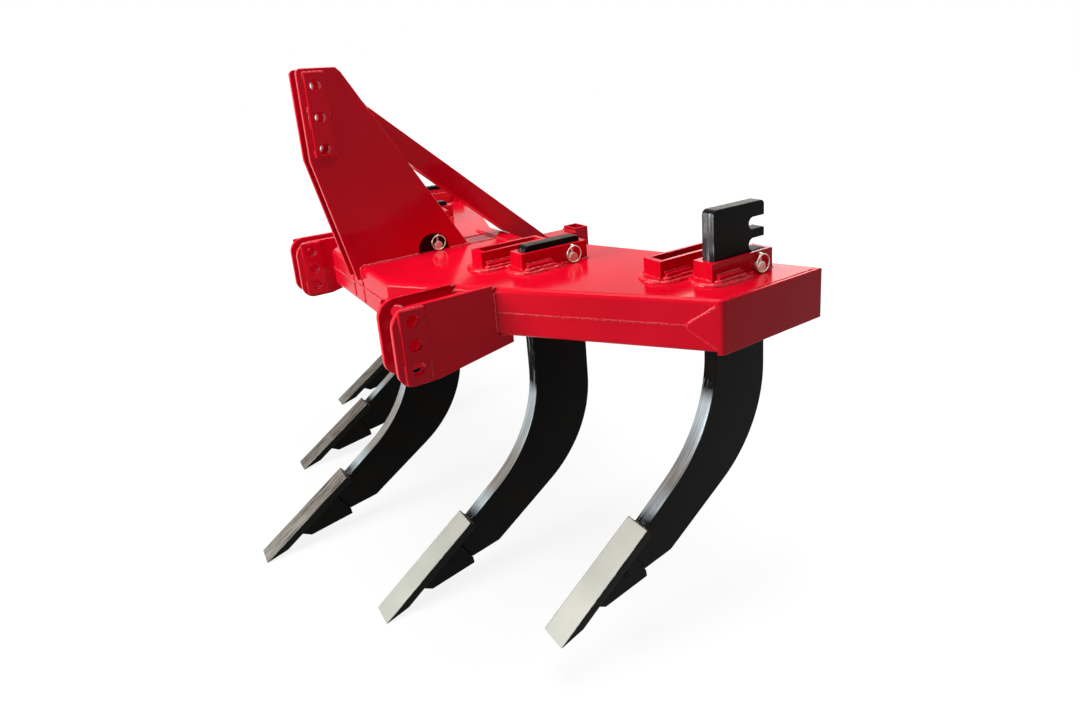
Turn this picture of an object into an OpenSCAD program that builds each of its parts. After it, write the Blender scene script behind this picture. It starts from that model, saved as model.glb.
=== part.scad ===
/* [Frame] */
// Height of the hollow frame
box_h = 116; // [100:2:140]
// Thickness of the frame's pressed sheet
sheet_t = 8; // [6:1:10]
// Radius of the frame's front edges, top and bottom
edge_r = 14; // [10:1:18]
// Half the width of the straight front face
front_half = 246; // [230:2:262]
// Sweep of the wings' front faces
front_sweep = 34.6; // [32:0.2:37]
// Half the width of the straight rear face
rear_half = 103; // [90:1:120]
// Length of the frame along its middle
mid_l = 470; // [450:5:490]
// Sweep of the wings' rear faces
rear_sweep = 20.3; // [19:0.1:21.6]
// Half the overall width, to the outside of the end caps
end_x = 912; // [895:1:930]
// Thickness of the end caps
end_t = 10; // [8:1:12]
// Length of the end cap's folded nose along the front face
nose_l = 76; // [60:1:90]
// Thickness of the nose that lies on the front face
nose_t = 6; // [4:1:8]
// Outside radius of the end cap's fold
fold_r = 16; // [12:1:20]
// Height of the nose's blunt tip
nose_tip = 10; // [6:1:20]

/* [Lower hitch] */
// Distance between the middles of the two lower hitch clevises
hitch_spread = 870; // [850:2:890]
// Clear gap between the two plates of a clevis
clevis_gap = 72; // [60:1:80]
// Thickness of a clevis plate
clevis_t = 16; // [12:1:20]
// Radius of the lower hitch holes
low_hole_r = 14.5; // [14.5:0.5:18]
// Distance between the rows of lower hitch holes
low_pitch = 54; // [50:1:60]
// Depth of the lowest row of hitch holes below the frame's top
low_drop = 134; // [130:1:140]
// Distance of the lower hitch holes ahead of the frame's front face
low_ahead = 31; // [26:1:36]
// Distance from a lower hitch hole to the clevis plate's front edge
clevis_nose = 45; // [42:1:50]
// Height of the clevis plates above the frame's top
clevis_rise = 6; // [3:1:9]
// Distance from the lowest hitch hole to the clevis plate's lower edge
clevis_chin = 40; // [36:1:46]
// Length of the clevis plate under the frame
clevis_tail = 52; // [40:1:60]
// Reach of the clevis plate over the frame's top edge
clevis_lip = 12; // [8:1:16]
// Depth of the clevis plate's tail below the frame's underside
clevis_heel = 26; // [20:1:32]
// Length of the clevis plate's level lower edge, with its round corner
clevis_chin_l = 90; // [80:1:100]
// Radius of the clevis plate's upper front corner
clevis_top_r = 44; // [40:1:48]
// Radius of the clevis plate's lower front corner
clevis_chin_r = 36; // [32:1:40]
// Thickness of the strips that double the clevis plates
low_pad_t = 6; // [4:1:8]
// Width of the strips that double the clevis plates
low_pad_w = 58; // [52:1:62]
// Reach of the strips above the highest hitch hole's axis
low_pad_over = 28; // [24:1:32]
// Reach of the strips below the lowest hitch hole's axis
low_pad_under = 31; // [26:1:34]

/* [Mast] */
// Height of the highest mast hole above the lowest lower hitch hole
mast_height = 610; // [600:1:620]
// Radius of the mast's holes
top_hole_r = 13; // [12.9:0.1:16]
// Distance between the mast's holes
top_pitch = 78; // [70:1:86]
// Distance of the mast's holes ahead of the frame's front face
top_ahead = 43; // [38:1:48]
// Thickness of a mast plate
mast_t = 14; // [12:1:18]
// Distance from the mast's holes to its front edge
mast_nose = 40; // [36:1:44]
// Distance from the highest hole to the top of the mast
mast_crown = 42; // [38:1:48]
// Height above the frame's top at which the mast's front edge bends
mast_bend = 292; // [270:2:310]
// Length of the mast's foot along the frame's top
mast_foot = 322; // [310:2:340]
// Length of the mast's top edge
mast_top_l = 96; // [85:1:105]
// Chamfer of the mast's upper front corner
mast_chamfer = 8; // [6:1:12]
// Slope of the mast's upper rear corner, along and down
mast_shoulder = 12; // [8:1:16]
// Width of the mast's toe, ahead of the frame's front face
mast_toe_l = 12; // [8:1:16]
// Drop of the mast's toe down the frame's front face
mast_toe = 36; // [30:1:42]
// Thickness of the mast's doubling plates
top_pad_t = 7; // [5:1:9]
// Width of the mast's doubling plates
top_pad_w = 50; // [44:1:56]
// Reach of the mast's doubling plates above the highest hole's axis
top_pad_over = 32; // [26:1:36]
// Reach of the mast's doubling plates below the lowest hole's axis
top_pad_under = 20; // [18:1:26]
// Distance of the cut over the middle pocket's pin behind the frame's front face
mast_cut_y = 214; // [208:1:220]
// Radius of the half-round cut over the middle pocket's pin
mast_cut_r = 45; // [43:1:48]
// Height of the cut's middle above the frame's top
mast_cut_up = 8; // [4:1:12]

/* [Brace and rear socket] */
// Depth of the brace, seen from the side
brace_d = 60; // [50:1:70]
// Wall of the brace, the spine and the rear socket
tube_wall = 6; // [4:1:8]
// Distance of the brace's upper edge behind the front face, where it ends between the mast plates
brace_top_y = 6; // [0:1:16]
// Distance of the brace's upper edge behind the frame's rear face, where it lands on the spine
brace_foot = 137; // [125:1:150]
// Height of the brace's upper edge above the frame's top, where it ends between the mast plates
brace_top_z = 484; // [470:1:495]
// Width and height of the spine behind the frame
spine_s = 68; // [60:1:76]
// Depth of the spine's top below the frame's top
spine_drop = 37; // [20:1:46]
// Length of the spine behind the frame
spine_l = 238; // [220:1:250]
// Length of the rear socket along the machine
socket_l = 51; // [45:1:60]
// Height of the rear socket above the spine's top
socket_rise = 12; // [8:1:20]
// Height of the rear socket
socket_h = 104; // [90:1:116]
// Thickness of the plate on the frame's top, ahead of the spine's joint
rear_plate_t = 6; // [4:1:8]
// Length of the plate along the machine
rear_plate_l = 44; // [36:1:52]
// Clearance between the plate and the brace above it
brace_gap = 3.3; // [2:0.1:6]

/* [Pockets] */
// Distance of an outer shank from the middle
outer_x = 800; // [790:1:810]
// Distance of an inner shank from the middle
inner_x = 408; // [402:1:414]
// Distance from the outer shank's pocket to the spare pocket beside it
outer_step = 97; // [94:1:104]
// Distance from the inner shank's pocket to the spare pocket beside it
inner_step = 97; // [94:1:104]
// Distance of the outer pocket behind the frame's rear face in the middle
outer_back = 41; // [35:1:45]
// Distance of the inner pocket ahead of the frame's rear face in the middle
inner_ahead = 196; // [190:1:204]
// Distance of the middle pocket behind the frame's front face
mid_y = 86; // [80:1:92]
// Height of the pockets above the frame's top
pocket_rise = 47; // [44:1:56]
// Height of the pockets below the frame's underside
pocket_drop = 10; // [4:1:12]
// Thickness of a pocket's side plates
cheek_t = 10; // [8:1:12]
// Thickness of a pocket's front block
front_block = 14; // [10:1:18]
// Thickness of a pocket's rear block
rear_block = 12; // [10:1:16]
// Clearance on each side of a shank in its pocket
play = 0.5; // [0.3:0.1:1]
// Clearance ahead of and behind a shank in its pocket
end_play = 3; // [1:0.5:4]
// Thickness of the pad round a pocket's front end
pad_t = 8; // [6:1:10]
// Reach of the pad past the pocket
pad_reach = 18; // [14:1:22]
// Length of the pad along the pocket
pad_l = 104; // [90:1:120]
// Width and height of the bars along a pocket's foot
bar_s = 12; // [10:1:14]
// Length of the bars along a pocket's foot
bar_l = 76; // [60:1:84]
// Distance of the bars behind the pocket's front
bar_start = 10; // [6:1:16]

/* [Shanks] */
// Thickness of a shank
shank_t = 35; // [30:1:40]
// Width of a shank, seen from the side
shank_w = 162; // [155:1:168]
// Radius of the shank's upper front corner
shank_front_r = 14; // [8:1:18]
// Radius of the shank's upper rear corner
shank_rear_r = 10; // [6:1:14]
// Height of a lowered shank above the frame's top
shank_top = 62; // [56:1:68]
// Distance between the shank's notches
notch_pitch = 48; // [44:1:52]
// Number of notches by which the first shank is raised
raised_by = 2; // [0:1:2]
// Depth of a notch
notch_d = 50; // [46:1:54]
// Clearance of the pin in a notch, over its diameter
notch_play = 2; // [1:0.5:3]
// Depth below the frame's top at which the shank's front edge starts to bend
front_drop = 270; // [262:1:278]
// Depth below the frame's top at which the shank's rear edge starts to bend
rear_drop = 330; // [322:1:338]
// Radius of the bend's front edge
bend_front_r = 330; // [320:1:340]
// Radius of the bend's rear edge
bend_rear_r = 300; // [290:1:310]
// Turn of the bend's front edge
bend_turn = 54; // [52:0.5:56]
// Turn of the bend's rear edge
rear_turn = 58.2; // [57:0.1:59]
// Length of the shank's rear edge from the bend to the heel
heel_run = 200; // [190:1:210]
// Length of the shank's sole, from the heel to the shoe
sole_l = 78; // [70:1:86]
// Drop of the sole from the heel to the shoe
sole_drop = 10; // [6:1:14]

/* [Points and pins] */
// Width of a point
point_w = 66; // [60:1:72]
// Thickness of a point
point_t = 20; // [16:1:22]
// Length of a point
point_l = 286; // [276:1:290]
// Rise of the point's face from its tip, in degrees
point_angle = 34; // [33:0.2:35]
// Reach of the point's tip ahead of the shank's front edge
tip_ahead = 465; // [460:1:470]
// Drop of the point's tip below the frame's top
tip_drop = 753; // [748:1:758]
// Length of the bevel under the point's tip
point_bevel = 55; // [40:1:70]
// Distance along the point from its tip to the shoe's front
shoe_start = 100; // [90:1:110]
// Distance along the point from its tip to the shank's foot
foot_start = 230; // [224:1:236]
// Width of the shoe under a shank's foot
shoe_w = 44; // [38:1:50]
// Thickness of the shoe
shoe_t = 16; // [12:1:18]
// Length of the shoe
shoe_l = 117; // [110:1:122]
// Diameter of the pins that hold the shanks
pin_d = 25; // [22:1:28]
// Height of the pins above the frame's top
pin_z = 14; // [14:1:18]
// Length of a pin outside its pocket
pin_out = 14; // [12:1:18]
// Distance of a lock peg from the pin's end
lock_in = 6; // [5:0.5:7]
// Diameter of the hole for a lock peg
lock_hole_d = 7; // [6:0.5:8]
// Diameter of the lock rings
ring_d = 44; // [40:1:44]
// Thickness of the lock rings' wire
ring_wire = 3; // [2.5:0.5:4]
// Height of a ring's lowest point above the frame
ring_rest = 1; // [0.5:0.5:3]
// Gap between a ring's wire and the pin's end
ring_gap = 0.5; // [0.2:0.1:1]
// Height of a peg's lower end above the frame
peg_rest = 2; // [1:0.5:4]
// Clearance round a peg in its hole
peg_play = 0.3; // [0.1:0.1:0.5]

/* [Hidden] */
$fn = 64;
eps = 0.01;
far = 2000;
seam_z = -box_h / 2;
wing_slope = tan(front_sweep);
rear_slope = tan(rear_sweep);
pocket_in = shank_t + 2 * play;
pocket_w = pocket_in + 2 * cheek_t;
pocket_l = front_block + shank_w + 2 * end_play + rear_block;
pocket_h = pocket_rise + box_h + pocket_drop;
mast_gap = pocket_w;
mast_x = mast_gap / 2 + mast_t;
brace_w = mast_gap;
brace_foot_y = mid_l + brace_foot;
spine_end = mid_l + spine_l;
outer_y = mid_l + outer_back;
inner_y = mid_l - inner_ahead;
clevis_in = hitch_spread / 2 - clevis_gap / 2;
clevis_out = hitch_spread / 2 + clevis_gap / 2;
notch_h = pin_d + notch_play;
notch_end = notch_d - notch_h / 2;
pin_back = rear_block + end_play + notch_end;
pin_hole_r = pin_d / 2 + 0.4;
brace_slope = atan((brace_top_z + spine_drop) / (brace_foot_y - brace_top_y));
rear_plate_end = brace_foot_y - brace_d / sin(brace_slope)
    - (spine_drop + rear_plate_t + brace_gap) / tan(brace_slope);
lock_hole_r = lock_hole_d / 2;
lock_x = pocket_w / 2 + pin_out - lock_in;

// Pockets of the left wing. Columns: distance from the middle, distance behind the front face
POCKET_X = 0;
POCKET_Y = 1;
wing_rise = (outer_y - inner_y) / (outer_x - inner_x);
pockets = [
    [outer_x, outer_y],
    [outer_x - outer_step, outer_y - outer_step * wing_rise],
    [inner_x, inner_y],
    [inner_x - inner_step, inner_y - inner_step * wing_rise]
];

// Shanks. Columns: distance from the middle, pocket's distance behind the front face, notches raised
SHANK_X = 0;
SHANK_Y = 1;
SHANK_UP = 2;
shanks = [
    [outer_x, outer_y, raised_by],
    [inner_x, inner_y, 0],
    [0, mid_y, 0],
    [-inner_x, inner_y, 0],
    [-outer_x, outer_y, 0]
];

// The origin lies on the axis of the lowest row of lower hitch holes, midway between the clevises.
// Inside this module, y = 0 is the frame's front face and z = 0 is the frame's top.
module on_frame() translate([0, low_ahead, low_drop]) children();

// Mirrors its children to the right side
module on_side(right) mirror([right ? 1 : 0, 0, 0]) children();

// Turns an outline drawn as [y, z] into a plate of thickness t, from x = 0 towards +x
module side_plate(t) rotate([90, 0, 90]) linear_extrude(t) children();

function wing_front(x) = max(0, (x - front_half) * wing_slope);
function wing_rear(x) = mid_l + max(0, (x - rear_half) * rear_slope);

// Left half of the frame's plan, between two distances from the middle, drawn in by d
module plan(x0, x1, d = 0) {
    front_in = d / cos(front_sweep);
    rear_in = d / cos(rear_sweep);
    corner_x = front_half - (front_in - d) / wing_slope;
    rear_x = rear_half - (rear_in - d) / rear_slope;
    polygon([
        [x0 + d, d],
        if (x1 > front_half) [corner_x, d],
        [x1 - d, x1 > front_half ? wing_front(x1 - d) + front_in : d],
        [x1 - d, x1 > rear_half ? wing_rear(x1 - d) - rear_in : mid_l - d],
        if (x1 > rear_half) [rear_x, mid_l - d],
        [x0 + d, mid_l - d]
    ]);
}

function on_circle(r, turn) = r * [cos(turn), sin(turn)];

// Points of an arc from one angle to another
function arc(center, r, from, to, steps) = [
    for (i = [0:steps]) center + on_circle(r, from + (to - from) * i / steps)
];

// Cuts the rounding of one front edge, top side, along x
module edge_cut() {
    steps = 6;
    over = 1 / tan(45 / steps);
    round = arc([edge_r, -edge_r], edge_r, 180, 90, steps);
    rotate([90, 0, 90]) linear_extrude(far, center = true) polygon(concat(
        [[-1, 1], [-1, -edge_r - over]], [for (i = [1:steps - 1]) round[i]], [[edge_r + over, 1]]));
}

module front_edges() {
    edge_cut();
    for (right = [false, true]) on_side(right)
        translate([front_half, 0, 0]) rotate([0, 0, front_sweep]) edge_cut();
}

// Solid outside shape of the frame, with its rounded front edges, used to fit what is welded to it
module frame_body() {
    difference() {
        translate([0, 0, -box_h]) linear_extrude(box_h) {
            plan(-eps, end_x);
            mirror([1, 0, 0]) plan(-eps, end_x);
        }
        front_edges();
        translate([0, 0, -box_h]) mirror([0, 0, 1]) front_edges();
    }
}

// Slots for the pockets through one wing of the frame
module pocket_slots() {
    for (p = pockets)
        translate([p[POCKET_X] - pocket_w / 2, p[POCKET_Y], -box_h - 1])
            cube([pocket_w, pocket_l, box_h + 2]);
}

// One pressed half of a wing, as a tray that is open at the seam
module wing_tray() {
    difference() {
        translate([0, 0, seam_z]) linear_extrude(-seam_z) plan(mast_x, end_x - end_t);
        front_edges();
        translate([0, 0, seam_z - 1]) linear_extrude(-seam_z - sheet_t + 1)
            plan(mast_x, end_x - end_t, sheet_t);
        pocket_slots();
    }
}

// One pressed half of the frame's middle
module middle_tray() {
    difference() {
        translate([-mast_x, 0, seam_z]) cube([2 * mast_x, mid_l, -seam_z]);
        front_edges();
        translate([-mast_x + sheet_t, sheet_t, seam_z - 1])
            cube([2 * (mast_x - sheet_t), mid_l - 2 * sheet_t, -seam_z - sheet_t + 1]);
        translate([-pocket_w / 2, mid_y, -box_h]) cube([pocket_w, pocket_l, 2 * box_h]);
    }
}

// Turns an upper half into a lower half
module lower() translate([0, 0, -box_h]) mirror([0, 0, 1]) children();

module frame_half(right, low) {
    color("crimson") on_frame() on_side(right) {
        if (low) lower() wing_tray();
        else wing_tray();
    }
}

module frame_upper_left() frame_half(false, false);
module frame_upper_right() frame_half(true, false);
module frame_lower_left() frame_half(false, true);
module frame_lower_right() frame_half(true, true);
module frame_upper_middle() color("crimson") on_frame() middle_tray();
module frame_lower_middle() color("crimson") on_frame() lower() middle_tray();

// Plan of an end cap: a plate across the wing's end, folded round onto the front face
module cap_plan() {
    out = nose_t / cos(front_sweep);
    fold_y = wing_front(end_x) - out;
    along = [cos(front_sweep), sin(front_sweep)];
    inward = [-sin(front_sweep), cos(front_sweep)];
    tip = [end_x, fold_y] - along * nose_l;
    reach = fold_r * tan((90 - front_sweep) / 2);
    center = [end_x - fold_r, fold_y + reach];
    difference() {
        polygon([
            tip, [end_x, fold_y], [end_x, wing_rear(end_x)], [end_x - end_t, wing_rear(end_x - end_t)],
            [end_x - end_t, wing_front(end_x - end_t)], tip + inward * nose_t
        ]);
        difference() {
            polygon([[end_x + 1, fold_y + reach], [end_x + 1, fold_y - 1 / wing_slope],
                [end_x, fold_y] - along * reach - inward, center]);
            translate(center) circle(fold_r);
        }
    }
}

// Side view of the nose's trim, as distance along the front face and height.
// Its edge turns at these shares of the nose's length and of the frame's height.
nose_turn = 0.2;
nose_step = 0.1;
module nose_trim() {
    polygon([
        [0, 0], [-nose_l * nose_turn, -box_h * nose_step],
        [-nose_l, seam_z + nose_tip / 2], [-nose_l, seam_z - nose_tip / 2],
        [-nose_l * nose_turn, -box_h * (1 - nose_step)], [0, -box_h]
    ]);
}

module end_cap(right) {
    color("crimson") on_frame() on_side(right) intersection() {
        translate([0, 0, -box_h]) linear_extrude(box_h) cap_plan();
        union() {
            translate([end_x - end_t, 0, -box_h]) cube([end_t, far, box_h]);
            translate([end_x, wing_front(end_x), 0]) rotate([0, 0, front_sweep])
                rotate([90, 0, 0]) linear_extrude(4 * nose_t, center = true) nose_trim();
        }
    }
}

module end_cap_left() end_cap(false);
module end_cap_right() end_cap(true);

// Spine: a square tube behind the frame that carries the brace and the rear socket
module spine() {
    color("crimson") on_frame() translate([-spine_s / 2, mid_l, -spine_drop - spine_s]) difference() {
        cube([spine_s, spine_end - mid_l, spine_s]);
        translate([tube_wall, -1, tube_wall])
            cube([spine_s - 2 * tube_wall, far, spine_s - 2 * tube_wall]);
    }
}

module rear_socket() {
    color("crimson") on_frame()
        translate([-spine_s / 2, spine_end, -spine_drop + socket_rise - socket_h]) difference() {
            cube([spine_s, socket_l, socket_h]);
            translate([tube_wall, tube_wall, -1])
                cube([spine_s - 2 * tube_wall, socket_l - 2 * tube_wall, far]);
        }
}

module rear_plate() {
    color("crimson") on_frame() translate([-rear_half, rear_plate_end - rear_plate_l, 0])
        cube([2 * rear_half, rear_plate_l, rear_plate_t]);
}

// Side view of a clevis plate: round front corners, and a lower edge that rises to the rear
module clevis_outline(tail_y) {
    front_y = -low_ahead - clevis_nose;
    chin_z = -low_drop - clevis_chin;
    difference() {
        polygon([
            [front_y, clevis_rise], [tail_y, clevis_rise], [tail_y, -box_h - clevis_heel],
            [front_y + clevis_chin_l, chin_z], [front_y, chin_z]
        ]);
        difference() {
            translate([front_y - 1, clevis_rise - clevis_top_r]) square(clevis_top_r + 1);
            translate([front_y + clevis_top_r, clevis_rise - clevis_top_r]) circle(clevis_top_r);
        }
        difference() {
            translate([front_y - 1, chin_z - 1]) square(clevis_chin_r + 1);
            translate([front_y + clevis_chin_r, chin_z + clevis_chin_r]) circle(clevis_chin_r);
        }
        low_holes();
    }
}

module low_holes() {
    for (i = [0:2]) translate([-low_ahead, -low_drop + i * low_pitch]) circle(low_hole_r);
}

module clevis_plate(right, x) {
    color("crimson") on_frame() on_side(right) difference() {
        translate([x, 0, 0]) side_plate(clevis_t) clevis_outline(wing_front(x) + clevis_tail);
        frame_body();
        translate([0, wing_front(x) + clevis_lip, -1]) cube([far, far, 2 * box_h]);
    }
}

module clevis_outer_left() clevis_plate(false, clevis_out);
module clevis_inner_left() clevis_plate(false, clevis_in - clevis_t);
module clevis_outer_right() clevis_plate(true, clevis_out);
module clevis_inner_right() clevis_plate(true, clevis_in - clevis_t);

// Strips that double both plates of a clevis round its holes
module clevis_strip(right) {
    strip_low = -low_drop - low_pad_under;
    strip_high = -low_drop + 2 * low_pitch + low_pad_over;
    color("crimson") on_frame() on_side(right)
        for (x = [clevis_in - clevis_t - low_pad_t, clevis_out + clevis_t])
            translate([x, 0, 0]) side_plate(low_pad_t) difference() {
                translate([-low_ahead - low_pad_w / 2, strip_low])
                    square([low_pad_w, strip_high - strip_low]);
                low_holes();
            }
}

module clevis_strip_left() clevis_strip(false);
module clevis_strip_right() clevis_strip(true);

top_hole_z = mast_height - low_drop;
mast_front = -top_ahead - mast_nose;
mast_top = top_hole_z + mast_crown;

module top_holes() {
    for (i = [0:2]) translate([-top_ahead, top_hole_z - i * top_pitch]) circle(top_hole_r);
}

// Side view of a mast plate
module mast_outline() {
    difference() {
        polygon([
            [mast_front, mast_top - mast_chamfer], [mast_front + mast_chamfer, mast_top],
            [mast_front + mast_top_l, mast_top],
            [mast_front + mast_top_l + mast_shoulder, mast_top - mast_shoulder],
            [mast_foot, 0], [0, 0], [0, -mast_toe], [-mast_toe_l, -mast_toe], [mast_front, mast_bend]
        ]);
        top_holes();
        translate([mast_cut_y, mast_cut_up]) circle(mast_cut_r);
        translate([mast_cut_y - mast_cut_r, -1]) square([2 * mast_cut_r, mast_cut_up + 1]);
    }
}

module mast_plate(right) {
    color("crimson") on_frame() on_side(right)
        translate([mast_gap / 2, 0, 0]) side_plate(mast_t) mast_outline();
}

module mast_plate_left() mast_plate(false);
module mast_plate_right() mast_plate(true);

module mast_doublers() {
    color("crimson") on_frame() for (right = [false, true]) on_side(right)
        translate([mast_x, 0, 0]) side_plate(top_pad_t) difference() {
            translate([-top_ahead - top_pad_w / 2, top_hole_z - 2 * top_pitch - top_pad_under])
                square([top_pad_w, top_pad_over + 2 * top_pitch + top_pad_under]);
            top_holes();
        }
}

// Brace: a tube from between the mast plates down to the spine
module brace() {
    run = (brace_foot_y - brace_top_y) / cos(brace_slope);
    color("crimson") on_frame() intersection() {
        translate([0, brace_top_y, brace_top_z]) rotate([-brace_slope, 0, 0]) difference() {
            translate([-brace_w / 2, 0, -brace_d]) cube([brace_w, run + brace_d, brace_d]);
            translate([-brace_w / 2 + tube_wall, -1, -brace_d + tube_wall])
                cube([brace_w - 2 * tube_wall, far, brace_d - 2 * tube_wall]);
        }
        translate([-far / 2, 0, -spine_drop]) cube(far);
    }
}

module at_pocket(p) translate([p[POCKET_X], p[POCKET_Y], 0]) children();

module each_pocket(right) color("crimson") on_frame() on_side(right)
    for (p = pockets) at_pocket(p) children();

module cheeks() {
    difference() {
        for (s = [-1, 1])
            translate([s > 0 ? pocket_in / 2 : -pocket_w / 2, 0, -box_h - pocket_drop])
                cube([cheek_t, pocket_l, pocket_h]);
        translate([0, pocket_l - pin_back, pin_z]) rotate([0, 90, 0])
            cylinder(h = 2 * pocket_w, r = pin_hole_r, center = true);
    }
}

module blocks() {
    for (y = [[0, front_block], [pocket_l - rear_block, rear_block]])
        translate([-pocket_in / 2, y[0], -box_h - pocket_drop]) cube([pocket_in, y[1], pocket_h]);
}

module pocket_cheeks_left() each_pocket(false) cheeks();
module pocket_cheeks_right() each_pocket(true) cheeks();
module pocket_cheeks_middle() color("crimson") on_frame() at_pocket([0, mid_y]) cheeks();
module pocket_blocks_left() each_pocket(false) blocks();
module pocket_blocks_right() each_pocket(true) blocks();
module pocket_blocks_middle() color("crimson") on_frame() at_pocket([0, mid_y]) blocks();

// Pad with round front corners that lies on the frame round a pocket's front end
module pad() {
    linear_extrude(pad_t) difference() {
        union() {
            translate([0, pocket_w / 2]) circle(pocket_w / 2 + pad_reach);
            translate([-pocket_w / 2 - pad_reach, pocket_w / 2])
                square([pocket_w + 2 * pad_reach, pad_l - pocket_w / 2]);
        }
        translate([-pocket_w / 2, 0]) square([pocket_w, far]);
    }
}

module bars() {
    for (s = [0, 1]) mirror([s, 0, 0])
        translate([pocket_w / 2, bar_start, pad_t]) cube([bar_s, bar_l, bar_s]);
}

module pocket_pads_left() each_pocket(false) pad();
module pocket_pads_right() each_pocket(true) pad();
module pocket_bars_left() each_pocket(false) bars();
module pocket_bars_right() each_pocket(true) bars();

// Side view of a shank, with y = 0 at its front edge and z = 0 at the frame's top
front_center = [-bend_front_r, -front_drop];
rear_center = [shank_w - bend_rear_r, -rear_drop];
bend_end = front_center + bend_front_r * [cos(bend_turn), -sin(bend_turn)];
rear_end = rear_center + bend_rear_r * [cos(rear_turn), -sin(rear_turn)];
down_nose = [-sin(bend_turn), -cos(bend_turn)];
heel = rear_end + heel_run * [-sin(rear_turn), -cos(rear_turn)];
sole_end = heel + [-sole_l, -sole_drop];
along_sole = [-sole_l, -sole_drop] / norm([sole_l, sole_drop]);
below_sole = [sole_drop, -sole_l] / norm([sole_l, sole_drop]);

// The point's face runs up and back from its tip; its seat is the side that lies on the shank
tip = [-tip_ahead, -tip_drop];
up_face = [cos(point_angle), sin(point_angle)];
into_face = [sin(point_angle), -cos(point_angle)];
face_end = tip + point_l * up_face;
seat_end = face_end + point_t * into_face;
foot = tip + foot_start * up_face + point_t * into_face;
gap_end = bend_end - face_end;
nose_depth = (gap_end[0] * down_nose[1] - gap_end[1] * down_nose[0])
    / (into_face[0] * down_nose[1] - into_face[1] * down_nose[0]);
nose_end = face_end + nose_depth * into_face;

module notch() {
    translate([notch_end, 0]) {
        circle(notch_h / 2);
        translate([-far, -notch_h / 2]) square([far, notch_h]);
    }
}

module corner(r) difference() {
    translate([-r, -r]) square(r + 1);
    translate([-r, -r]) circle(r);
}

module shank_outline() {
    difference() {
        polygon(concat(
            [[0, shank_top], [shank_w, shank_top]],
            arc(rear_center, bend_rear_r, 0, -rear_turn, 18),
            [heel, sole_end, foot, seat_end, nose_end],
            arc(front_center, bend_front_r, -bend_turn, 0, 18)));
        for (i = [0:2]) translate([shank_w, pin_z - i * notch_pitch]) mirror([1, 0]) notch();
        translate([shank_w, shank_top]) corner(shank_rear_r);
        translate([0, shank_top]) mirror([1, 0]) corner(shank_front_r);
    }
}

// Places a part of shank i, drawn from the front edge of a lowered shank
module at_shank(i) {
    s = shanks[i - 1];
    on_frame() translate([s[SHANK_X], s[SHANK_Y] + front_block + end_play, s[SHANK_UP] * notch_pitch])
        children();
}

module shank(i) color([0.05, 0.05, 0.05]) at_shank(i)
    translate([-shank_t / 2, 0, 0]) side_plate(shank_t) shank_outline();

// Point: a flat bar on the shank's nose, bevelled underneath at its tip
module point_outline() {
    polygon([tip, face_end, seat_end, tip + point_bevel * up_face + point_t * into_face]);
}

module point(i) color([0.66, 0.66, 0.64]) at_shank(i)
    translate([-point_w / 2, 0, 0]) side_plate(point_w) point_outline();

// Shoe: a stepped block under the shank's foot, behind the point
module shoe_outline() {
    step = sole_end + shoe_t * below_sole;
    polygon([foot, sole_end, step, step + shoe_l * along_sole,
        tip + shoe_start * up_face + point_t * into_face]);
}

module point_shoes() color([0.05, 0.05, 0.05]) for (i = [1:5]) at_shank(i)
    translate([-shoe_w / 2, 0, 0]) side_plate(shoe_w) shoe_outline();

module shank_1() shank(1);
module shank_2() shank(2);
module shank_3() shank(3);
module shank_4() shank(4);
module shank_5() shank(5);
module point_1() point(1);
module point_2() point(2);
module point_3() point(3);
module point_4() point(4);
module point_5() point(5);

// Pins that hold the shanks, one across each pocket in use
pin_l = pocket_w + 2 * pin_out;

module at_pin(i) on_frame()
    translate([shanks[i - 1][SHANK_X], shanks[i - 1][SHANK_Y] + pocket_l - pin_back, pin_z]) children();

module shank_pins() color("silver") for (i = [1:5]) at_pin(i) difference() {
    rotate([0, 90, 0]) cylinder(h = pin_l, d = pin_d, center = true);
    for (x = [-lock_x, lock_x])
        translate([x, 0, 0]) cylinder(h = far, r = lock_hole_r, center = true);
}

// Lock: a peg through the pin's end and a round wire ring that hangs from the peg's head
module lock() {
    ring_x = pin_l / 2 + ring_wire / 2 + ring_gap;
    ring_z = ring_d / 2 + ring_rest - pin_z;
    head_z = ring_z + ring_d / 2 - ring_wire / 2;
    translate([lock_x, 0, peg_rest - pin_z])
        cylinder(h = head_z + pin_z - peg_rest, r = lock_hole_r - peg_play);
    translate([lock_x - lock_hole_r, 0, head_z]) rotate([0, 90, 0])
        cylinder(h = ring_x - lock_x + lock_hole_r, r = ring_wire);
    translate([ring_x, 0, ring_z]) rotate([0, 90, 0]) rotate_extrude($fn = 48)
        translate([ring_d / 2 - ring_wire / 2, 0]) circle(d = ring_wire, $fn = 16);
}

module lock_rings() color("silver") for (i = [1:5]) at_pin(i) {
    lock();
    mirror([1, 0, 0]) lock();
}

frame_upper_left();
frame_upper_right();
frame_upper_middle();
frame_lower_left();
frame_lower_right();
frame_lower_middle();
end_cap_left();
end_cap_right();
rear_plate();
spine();
rear_socket();
clevis_outer_left();
clevis_inner_left();
clevis_outer_right();
clevis_inner_right();
clevis_strip_left();
clevis_strip_right();
mast_plate_left();
mast_plate_right();
mast_doublers();
brace();
pocket_cheeks_left();
pocket_cheeks_right();
pocket_cheeks_middle();
pocket_blocks_left();
pocket_blocks_right();
pocket_blocks_middle();
pocket_pads_left();
pocket_pads_right();
pocket_bars_left();
pocket_bars_right();
shank_1();
shank_2();
shank_3();
shank_4();
shank_5();
point_1();
point_2();
point_3();
point_4();
point_5();
point_shoes();
shank_pins();
lock_rings();
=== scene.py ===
"""Looks of a mounted subsoiler around its solids: paint with some painted shade and highlight, wear, weld beads, light
and camera. Metres.
"""

import math

import bmesh
import bpy
import numpy as np
from mathutils import Matrix, Vector


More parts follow.
